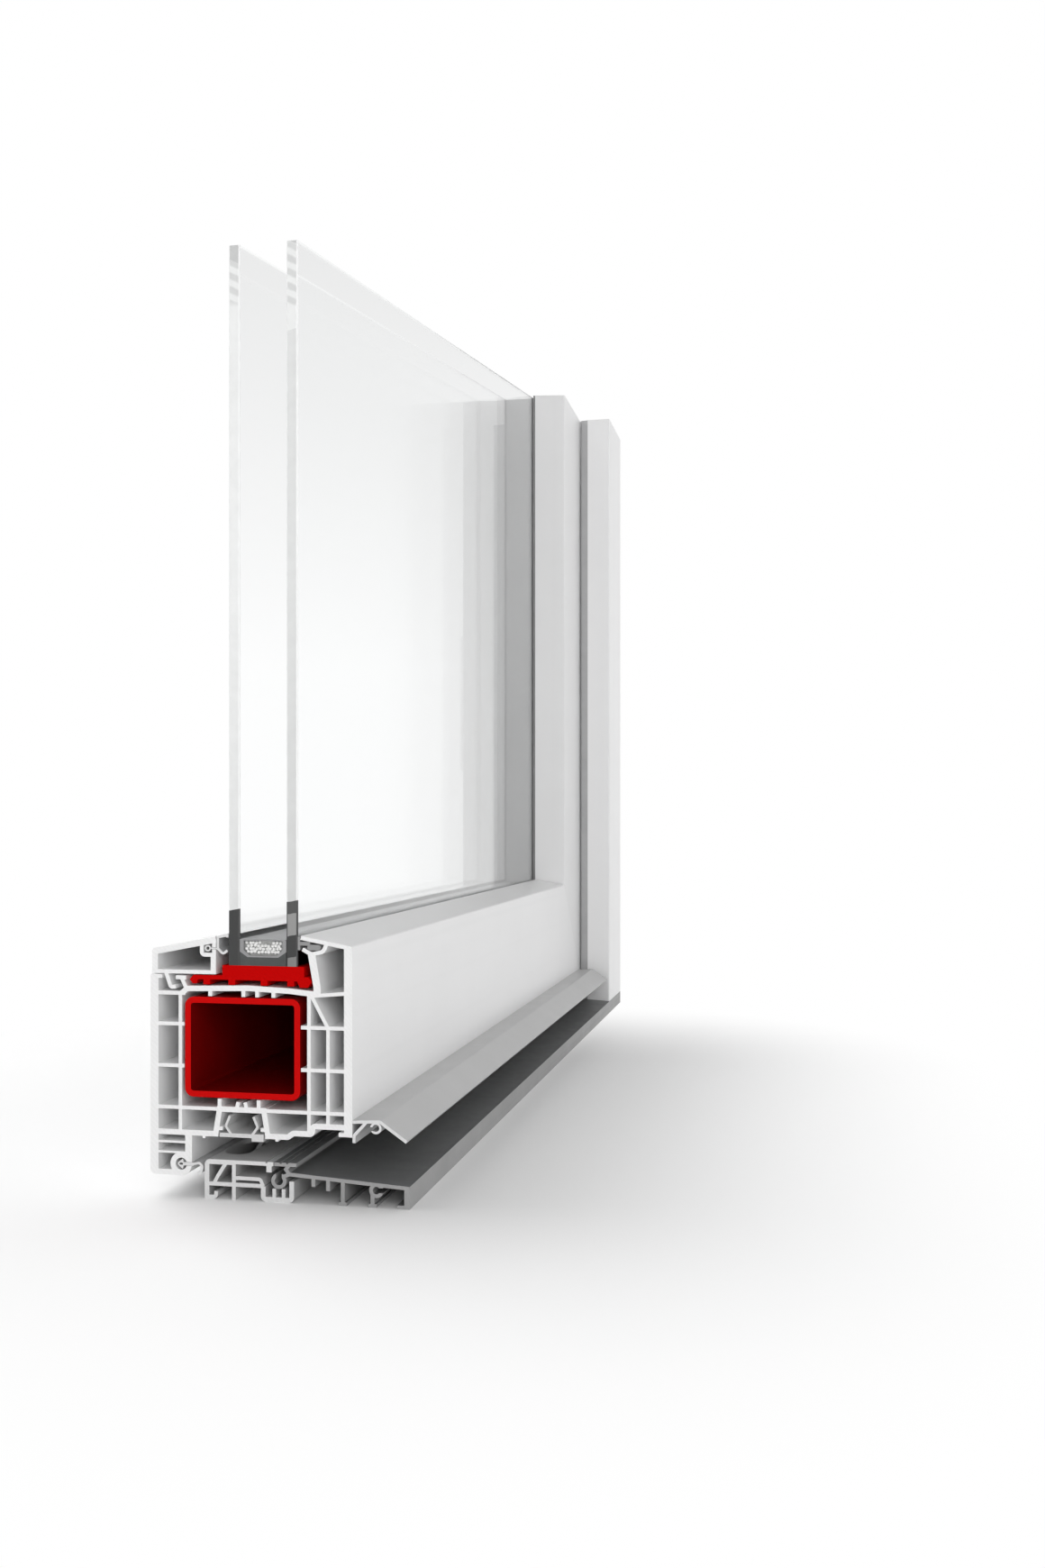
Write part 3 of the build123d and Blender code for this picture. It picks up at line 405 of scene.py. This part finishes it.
glassFinish = makeGlassFinish("clearFloatGlass", {
    "colour": (0.99, 0.995, 0.995), "mottleScale": 6.0, "spread": 0.004, "rough": (0.0, 0.012), "ior": 1.5})


def makeGroundEdgeFinish(name, look):     # seamed glass edge: nibbled near its top, banded with sealant low down
    material, tree, bsdf, place = newMaterial(name)
    drift = addDrift(tree, look, place)
    fine = useGroup(tree, peel, place, {"Scale": look["peelScale"]})
    spot = splitVector(tree, place)
    wander = addNode(tree, "ShaderNodeTexNoise", {"Scale": look["wanderScale"], "Detail": 3.0})
    tree.links.new(place, wander.inputs["Vector"])
    stray = mathNode(tree, "MULTIPLY", wander.outputs["Fac"], look["wander"])
    height = mathNode(tree, "ADD", spot["Z"], stray)
    aside = mathNode(tree, "SUBTRACT", spot["Y"], look["middle"])
    falling = mathNode(tree, "SUBTRACT", height, mathNode(tree, "MULTIPLY", aside, look["nibbleSlant"]))
    wave = mathNode(tree, "SINE", mathNode(tree, "MULTIPLY", falling, 2.0 * math.pi / look["nibble"]))
    stripes = mapRange(tree, wave, -look["nibbleSoft"], look["nibbleSoft"], 0.0, look["nibbleTone"])
    nearTop = mapRange(tree, height, look["nibbleFrom"], look["nibbleFrom"] + look["nibbleFade"], 0.0, 1.0)
    striped = mathNode(tree, "MULTIPLY", stripes, nearTop)
    cap = mapRange(tree, falling, look["capFrom"], look["capFrom"] + look["capFade"], 0.0, look["capTone"])
    nibbled = mathNode(tree, "SUBTRACT", 1.0, mathNode(tree, "MAXIMUM", striped, cap))
    rising = mathNode(tree, "ADD", height, mathNode(tree, "MULTIPLY", aside, look["bandSlant"]))
    foot, head = look["reach"]
    bands = addNode(tree, "ShaderNodeValToRGB")
    tree.links.new(mapRange(tree, rising, foot, head, 0.0, 1.0), bands.inputs["Fac"])
    ramp = bands.color_ramp
    ramp.interpolation = "CONSTANT"
    ramp.elements.remove(ramp.elements[1])
    ramp.elements[0].color = (*look["footColour"], 1.0)
    for level, colour in look["bands"]:
        step = ramp.elements.new((level - foot) / (head - foot))
        step.color = (*colour, 1.0)
    # painted shade: the ground edge darkens towards its foot, by shadeTone at shadeFrom and not at all from
    # shadeTo up
    shade = mapRange(tree, height, look["shadeFrom"], look["shadeTo"], look["shadeTone"], 1.0)
    banded = mixTone(tree, bands.outputs["Color"], drift["Tone"])
    ground = mixTone(tree, banded, mathNode(tree, "MULTIPLY", nibbled, shade))
    tree.links.new(ground, bsdf.inputs["Base Color"])
    tree.links.new(drift["Roughness"], bsdf.inputs["Roughness"])
    addBump(tree, bsdf, [(fine["Height"], look["peelDepth"])])
    return material


palest = (0.96, 0.97, 0.965)
duller = (0.83, 0.84, 0.835)
sealDark = (0.04, 0.041, 0.041)
sealThin = (0.09, 0.091, 0.09)
sealPale = (0.37, 0.37, 0.365)
sealFoot = (0.26, 0.26, 0.255)
arrisWhite = (0.98, 0.985, 0.985)
innerMiddle = 0.0145                  # y through the middle of each pane
outerMiddle = -0.0055
innerSealTop = 0.0946                 # z where the sealant on each pane's edge ends
outerSealTop = 0.0982
edgeLook = {
    "wander": 0.0005, "wanderScale": 700.0, "nibble": 0.0045, "nibbleSlant": 0.5, "nibbleTone": 0.2,
    "nibbleSoft": 0.5, "nibbleFrom": 0.293, "nibbleFade": 0.002, "capFrom": 0.3075, "capFade": 0.0005,
    "capTone": 0.32, "bandSlant": 0.18, "reach": (0.07, 0.33), "shadeFrom": 0.095, "shadeTo": 0.2,
    "shadeTone": 0.86, "mottleScale": 160.0, "spread": 0.06, "rough": (0.35, 0.5), "peelScale": 2400.0,
    "peelDepth": 0.00001,
}
arrisLook = {**edgeLook, "footColour": sealDark, "nibbleTone": 0.0, "capTone": 0.0, "shadeTone": 1.0}
innerEdgeFinish = makeGroundEdgeFinish("innerPaneEdge", {
    **edgeLook, "middle": innerMiddle, "footColour": sealDark, "bands": [(innerSealTop, palest)]})
outerEdgeFinish = makeGroundEdgeFinish("outerPaneEdge", {
    **edgeLook, "middle": outerMiddle, "footColour": sealFoot, "nibbleFrom": 0.291, "capFrom": 0.3125,
    "bands": [(0.0797, sealDark), (0.0863, sealPale), (0.0877, sealThin), (0.0881, sealPale), (0.0894, sealThin),
              (0.0898, sealPale), (0.0907, sealThin), (0.0911, sealPale), (0.0936, sealThin),
              (outerSealTop, duller), (0.284, palest)]})
innerArrisFinish = makeGroundEdgeFinish("innerPaneArris", {
    **arrisLook, "middle": innerMiddle, "bands": [(innerSealTop, arrisWhite)]})
outerArrisFinish = makeGroundEdgeFinish("outerPaneArris", {
    **arrisLook, "middle": outerMiddle, "bands": [(outerSealTop, arrisWhite)]})

finishOf = {
    "leaf_bottom_rail": railFinish, "leaf_stile": shadedStileFinish, "frame_jamb": jambFinish,
    "bottom_glazing_bead": railFinish, "side_glazing_bead": shadedStileFinish,
    "rail_reinforcement": redSteelFinish, "stile_reinforcement": redSteelUpFinish,
    "jamb_reinforcement": redSteelUpFinish,
    "inner_pane": glassFinish, "outer_pane": glassFinish,
    "bottom_spacer": spacerFinish, "side_spacer": spacerFinish,
    "bottom_desiccant": beadFinish, "side_desiccant": beadFinish,
    "bottom_edge_seal": sealantFinish, "side_edge_seal": sealantFinish,
    "bottom_bead_gasket": gasketFinish, "side_bead_gasket": gasketFinish,
    "bottom_outer_glazing_gasket": darkGasketFinish, "side_outer_glazing_gasket": darkGasketFinish,
    "bottom_flange_seal": gasketFinish, "side_flange_seal": gasketFinish, "jamb_seal": gasketFinish,
    "glazing_bridge": packerFinish, "glazing_pad": packerFinish,
    "groove_strip": stripFinish, "weather_bar": barFinish,
    "threshold_base": sillFinish, "threshold_plate": sillPlateFinish,
    "hinge_flag": hingeFinish, "hinge_bracket": hingeFinish, "hinge_pin": hingeFinish,
}
for name, node in nodes.items():
    node.data.materials.clear()
    node.data.materials.append(finishOf[name])
print("finishes assigned")


# modelled pieces

def addPiece(name, bm, finishes, body, stands=()):
    mesh = bpy.data.meshes.new(name)
    bm.to_mesh(mesh)
    bm.free()
    for finish in finishes:
        mesh.materials.append(finish)
    piece = bpy.data.objects.new(name, mesh)
    scene.collection.objects.link(piece)
    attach(piece, body)
    if stands:
        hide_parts(*stands)


paneLook = {"arris": 0.0005, "edgeFacing": -0.99}


def makePane(name, node, finishes, look):     # finishes: clear faces, cut edge, its arrises
    low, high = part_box(node)
    corners = [nodes[node].matrix_world @ vertex.co for vertex in nodes[node].data.vertices]
    nearTop = max(corner.z for corner in corners if corner.x < low.x + look["arris"])
    outline = ((low.x, low.z), (high.x, low.z), (high.x, high.z), (low.x, nearTop))
    bm = bmesh.new()
    side = bm.faces.new([bm.verts.new((x, low.y, z)) for x, z in outline])
    swept = bmesh.ops.extrude_face_region(bm, geom=[side])
    moved = [item for item in swept["geom"] if isinstance(item, bmesh.types.BMVert)]
    bmesh.ops.translate(bm, verts=moved, vec=(0.0, high.y - low.y, 0.0))
    bmesh.ops.recalc_face_normals(bm, faces=bm.faces)
    upright = [edge for edge in bm.edges if abs(edge.verts[0].co.x - edge.verts[1].co.x) < look["arris"]
               and abs(edge.verts[0].co.y - edge.verts[1].co.y) < look["arris"]]
    bmesh.ops.bevel(bm, geom=upright, offset=look["arris"], affect="EDGES", segments=2, profile=0.5, material=-1)
    for face in bm.faces:
        near = face.calc_center_median().x < low.x + look["arris"]
        face.material_index = 1 if face.normal.x < look["edgeFacing"] else 2 if near else 0
    addPiece(name, bm, finishes, "leaf", (node,))


makePane("seamedInnerPane", "inner_pane", (glassFinish, innerEdgeFinish, innerArrisFinish), paneLook)
makePane("seamedOuterPane", "outer_pane", (glassFinish, outerEdgeFinish, outerArrisFinish), paneLook)
print("panes made")

dryingLook = {"radius": 0.00062, "smallest": 0.86, "pitch": 0.00116, "rowStep": 0.87, "jitter": 0.00016,
              "room": 0.9, "sunk": 0.0014, "sink": 0.0005, "seed": 7}
weldDistance = 0.000001
cutDistance = 0.0000001
flatAngle = 0.01


def makeDryingFill(name, node, cutWay, look):   # loose beads that show where the spacer is cut
    bm = bmesh.new()
    bm.from_mesh(nodes[node].data)
    bm.transform(nodes[node].matrix_world)
    bmesh.ops.remove_doubles(bm, verts=bm.verts, dist=weldDistance)
    bmesh.ops.dissolve_limit(bm, angle_limit=flatAngle, verts=bm.verts, edges=bm.edges)
    end = max(bm.faces, key=lambda face: face.normal.dot(Vector(cutWay)))
    normal = end.normal.copy()
    corners = [vertex.co.copy() for vertex in end.verts]
    bmesh.ops.bisect_plane(bm, geom=bm.verts[:] + bm.edges[:] + bm.faces[:], dist=cutDistance,
                           plane_co=corners[0] - normal * look["sunk"], plane_no=normal, clear_outer=True)
    bmesh.ops.holes_fill(bm, edges=[edge for edge in bm.edges if edge.is_boundary])
    # the whole core takes the darker gap finish: painted shade between the beads
    for face in bm.faces:
        face.material_index = 1
    across = Vector((0.0, 1.0, 0.0))
    up = normal.cross(across)
    middle = sum(corners, Vector()) / len(corners)
    sides = list(zip(corners, corners[1:] + corners[:1]))
    steps = int(max((corner - middle).length for corner in corners) / look["pitch"]) + 1
    chance = random.Random(look["seed"])
    for row in range(-steps, steps + 1):
        for column in range(-steps, steps + 1):
            radius = look["radius"] * chance.uniform(look["smallest"], 1.0)
            slide = (column + 0.5 * (row % 2)) * look["pitch"] + chance.uniform(-look["jitter"], look["jitter"])
            climb = look["rowStep"] * row * look["pitch"] + chance.uniform(-look["jitter"], look["jitter"])
            spot = middle + across * slide + up * climb
            room = min((b - a).normalized().cross(spot - a).dot(normal) for a, b in sides)
            deep = radius + chance.uniform(0.0, look["sink"])
            if room < radius * look["room"]:
                continue
            ball = bmesh.ops.create_icosphere(bm, subdivisions=2, radius=radius,
                                              matrix=Matrix.Translation(spot - normal * deep))
            for vertex in ball["verts"]:
                for face in vertex.link_faces:
                    face.smooth = True
                    face.material_index = 0
    print(name, len(bm.faces), "faces")
    addPiece(name, bm, (beadFinish, beadGapShadeFinish), "leaf", (node,))


makeDryingFill("bottomDryingBeads", "bottom_desiccant", (-1.0, 0.0, 0.0), dryingLook)
makeDryingFill("sideDryingBeads", "side_desiccant", (0.0, 0.0, 1.0), dryingLook)
print("drying beads made")

screwLook = {"head": 0.0042, "edge": 0.0007, "rise": 0.0006, "seat": 0.0004, "recess": 0.0022, "depth": 0.0008,
             "waist": 0.42, "lobe": 0.6, "sides": 24, "plate": 0.004, "seed": 3}
flagSpots = {"across": (0.01, 0.03), "rise": (-0.031, 0.031)}
bracketSpots = {"inset": 0.0075, "rise": (-0.034, 0.0, 0.034)}


def addScrew(bm, spot, turn, look):       # countersunk head with a cross recess, facing the room
    stand = Matrix.Translation(spot + Vector((0.0, (look["rise"] - look["seat"]) / 2, 0.0)))
    made = bmesh.ops.create_cone(bm, cap_ends=True, segments=look["sides"], radius1=look["head"],
                                 radius2=look["head"] - look["edge"], depth=look["rise"] + look["seat"],
                                 matrix=stand @ Matrix.Rotation(math.radians(-90.0), 4, "X"))
    faces = {face for vertex in made["verts"] for face in vertex.link_faces}
    top = max(faces, key=lambda face: face.calc_center_median().y)
    bmesh.ops.inset_individual(bm, faces=[top], thickness=look["head"] - look["edge"] - look["recess"])
    for vertex in top.verts:
        out = Vector((vertex.co.x - spot.x, 0.0, vertex.co.z - spot.z))
        angle = math.atan2(out.z, out.x) - turn
        if abs(math.sin(2.0 * angle)) > look["lobe"]:
            vertex.co -= out * (1.0 - look["waist"])
    sunk = bmesh.ops.extrude_discrete_faces(bm, faces=[top])["faces"][0]
    bmesh.ops.translate(bm, verts=sunk.verts, vec=(0.0, -look["depth"], 0.0))


def makeScrews(name, body, spots, look):
    bm = bmesh.new()
    chance = random.Random(look["seed"])
    for spot in spots:
        addScrew(bm, Vector(spot), chance.uniform(0.0, math.pi / 2), look)
    addPiece(name, bm, (screwFinish,), body)


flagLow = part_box("hinge_flag")[0]
bracketLow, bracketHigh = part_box("hinge_bracket")
hingeMiddle = (bracketLow.z + bracketHigh.z) / 2
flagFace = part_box("leaf_stile")[1].y + screwLook["plate"]
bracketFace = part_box("frame_jamb")[1].y + screwLook["plate"]
makeScrews("flagScrews", "leaf", [(flagLow.x + across, flagFace, hingeMiddle + rise)
                                  for across in flagSpots["across"] for rise in flagSpots["rise"]], screwLook)
makeScrews("bracketScrews", "frame", [(bracketHigh.x - bracketSpots["inset"], bracketFace, hingeMiddle + rise)
                                      for rise in bracketSpots["rise"]], screwLook)
print("screws made")


# floor, light and camera

pureWhite = (1.0, 1.0, 1.0, 1.0)


def seenRays(tree, path):     # rays that show a backdrop: seen directly, in a gloss or through glass
    return mathNode(tree, "MAXIMUM", path["Is Camera Ray"],
                    mathNode(tree, "MAXIMUM", path["Is Glossy Ray"], path["Is Transmission Ray"]))


def mixShaders(tree, factor, first, second, output):
    blendNode = addNode(tree, "ShaderNodeMixShader")
    tree.links.new(factor, blendNode.inputs["Fac"])
    tree.links.new(first.outputs[0], blendNode.inputs[1])
    tree.links.new(second.outputs[0], blendNode.inputs[2])
    tree.links.new(blendNode.outputs[0], tree.nodes[output].inputs["Surface"])


# the floor fades to white away from the part, measured from a strip that ends at x = fadeEnd
floorLook = {"colour": (0.93, 0.93, 0.93), "mottleScale": 3.0, "spread": 0.01, "rough": (0.85, 0.95),
             "reach": 6.0, "fadeFrom": 0.0, "fadeTo": 0.22, "fadeEnd": 0.02}


def makeFloor(look):
    mesh = bpy.data.meshes.new("studioFloor")
    bm = bmesh.new()
    bmesh.ops.create_grid(bm, x_segments=2, y_segments=2, size=look["reach"])
    bm.to_mesh(mesh)
    bm.free()
    floor = bpy.data.objects.new("studioFloor", mesh)
    scene.collection.objects.link(floor)
    material, tree, bsdf, place = newMaterial("paleFloor")
    drift = addDrift(tree, look, place)
    tree.links.new(mixTone(tree, look["colour"], drift["Tone"]), bsdf.inputs["Base Color"])
    tree.links.new(drift["Roughness"], bsdf.inputs["Roughness"])
    bsdf.inputs["Specular IOR Level"].default_value = 0.0
    spot = splitVector(tree, place)
    gaps = []
    for axis, low, high in (("X", cadBox[0].x, look["fadeEnd"]), ("Y", cadBox[0].y, cadBox[1].y)):
        offset = mathNode(tree, "ABSOLUTE", mathNode(tree, "SUBTRACT", spot[axis], (low + high) / 2))
        gap = mathNode(tree, "MAXIMUM", mathNode(tree, "SUBTRACT", offset, (high - low) / 2), 0.0)
        gaps.append(mathNode(tree, "MULTIPLY", gap, gap))
    far = mathNode(tree, "SQRT", mathNode(tree, "ADD", *gaps))
    fade = addNode(tree, "ShaderNodeMapRange", {"From Min": look["fadeFrom"], "From Max": look["fadeTo"]},
                   interpolation_type="SMOOTHSTEP")
    tree.links.new(far, fade.inputs["Value"])
    seen = seenRays(tree, addNode(tree, "ShaderNodeLightPath").outputs)
    glow = addNode(tree, "ShaderNodeEmission", {"Color": pureWhite, "Strength": 1.0})
    mixShaders(tree, masked(tree, fade.outputs["Result"], seen), bsdf, glow, "Material Output")
    mesh.materials.append(material)


makeFloor(floorLook)

# reflections find the white room duller overhead, as the photo's glass shows it
worldLook = {"sky": 0.45, "ceiling": 0.8, "ceilingFrom": 0.1, "ceilingTo": 0.42}


def makeWorld(look):
    world = bpy.data.worlds.new("softStudio")
    scene.world = world
    world.use_nodes = True
    tree = world.node_tree
    sky = tree.nodes["Background"]
    sky.inputs["Color"].default_value = pureWhite
    sky.inputs["Strength"].default_value = look["sky"]
    room = addNode(tree, "ShaderNodeBackground", {"Color": pureWhite})
    path = addNode(tree, "ShaderNodeLightPath").outputs
    way = splitVector(tree, addNode(tree, "ShaderNodeTexCoord").outputs["Generated"])
    dull = mapRange(tree, way["Z"], look["ceilingFrom"], look["ceilingTo"], 0.0, 1.0 - look["ceiling"])
    shine = mathNode(tree, "SUBTRACT", 1.0, masked(tree, dull, path["Is Glossy Ray"]))
    tree.links.new(shine, room.inputs["Strength"])
    mixShaders(tree, seenRays(tree, path), sky, room, "World Output")


softboxes = {
    "keySoftbox": {"place": (0.25, 0.95, 1.6), "target": (-0.05, 0.0, 0.1), "size": (1.5, 1.5), "power": 22.5},
    "sideSoftbox": {"place": (1.0, -1.5, 0.85), "target": (0.0, 0.0, 0.1), "size": (1.4, 0.6), "power": 5.4},
    "frontSoftbox": {"place": (-1.1, -0.65, 0.52), "target": (-0.15, 0.0, 0.08), "size": (0.7, 0.5), "power": 2.6},
    "fillSoftbox": {"place": (-1.4, -0.35, 0.2), "target": (-0.25, 0.0, 0.06), "size": (0.5, 0.4), "power": 1.9},
}


def addSoftbox(name, look):
    light = bpy.data.lights.new(name, "AREA")
    light.shape = "RECTANGLE"
    light.size, light.size_y = look["size"]
    light.energy = look["power"]
    lamp = bpy.data.objects.new(name, light)
    lamp.location = look["place"]
    aim = Vector(look["target"]) - Vector(look["place"])
    lamp.rotation_euler = aim.to_track_quat("-Z", "Y").to_euler()
    scene.collection.objects.link(lamp)


makeWorld(worldLook)
for name, look in softboxes.items():
    addSoftbox(name, look)

cameraLook = {"place": (-0.696307, -0.171195, 0.126846), "tilt": 90.0, "turn": -78.548, "sensor": 36.0,
              "lens": 32.804, "shift": 0.0185, "nearest": 0.01}


def makeCamera(look):
    data = bpy.data.cameras.new("photoCamera")
    data.sensor_width = look["sensor"]
    data.sensor_fit = "AUTO"
    data.lens = look["lens"]
    data.shift_y = look["shift"]
    data.clip_start = look["nearest"]
    camera = bpy.data.objects.new("photoCamera", data)
    camera.location = look["place"]
    camera.rotation_euler = (math.radians(look["tilt"]), 0.0, math.radians(look["turn"]))
    scene.collection.objects.link(camera)
    scene.camera = camera


makeCamera(cameraLook)
print("floor, light and camera ready")
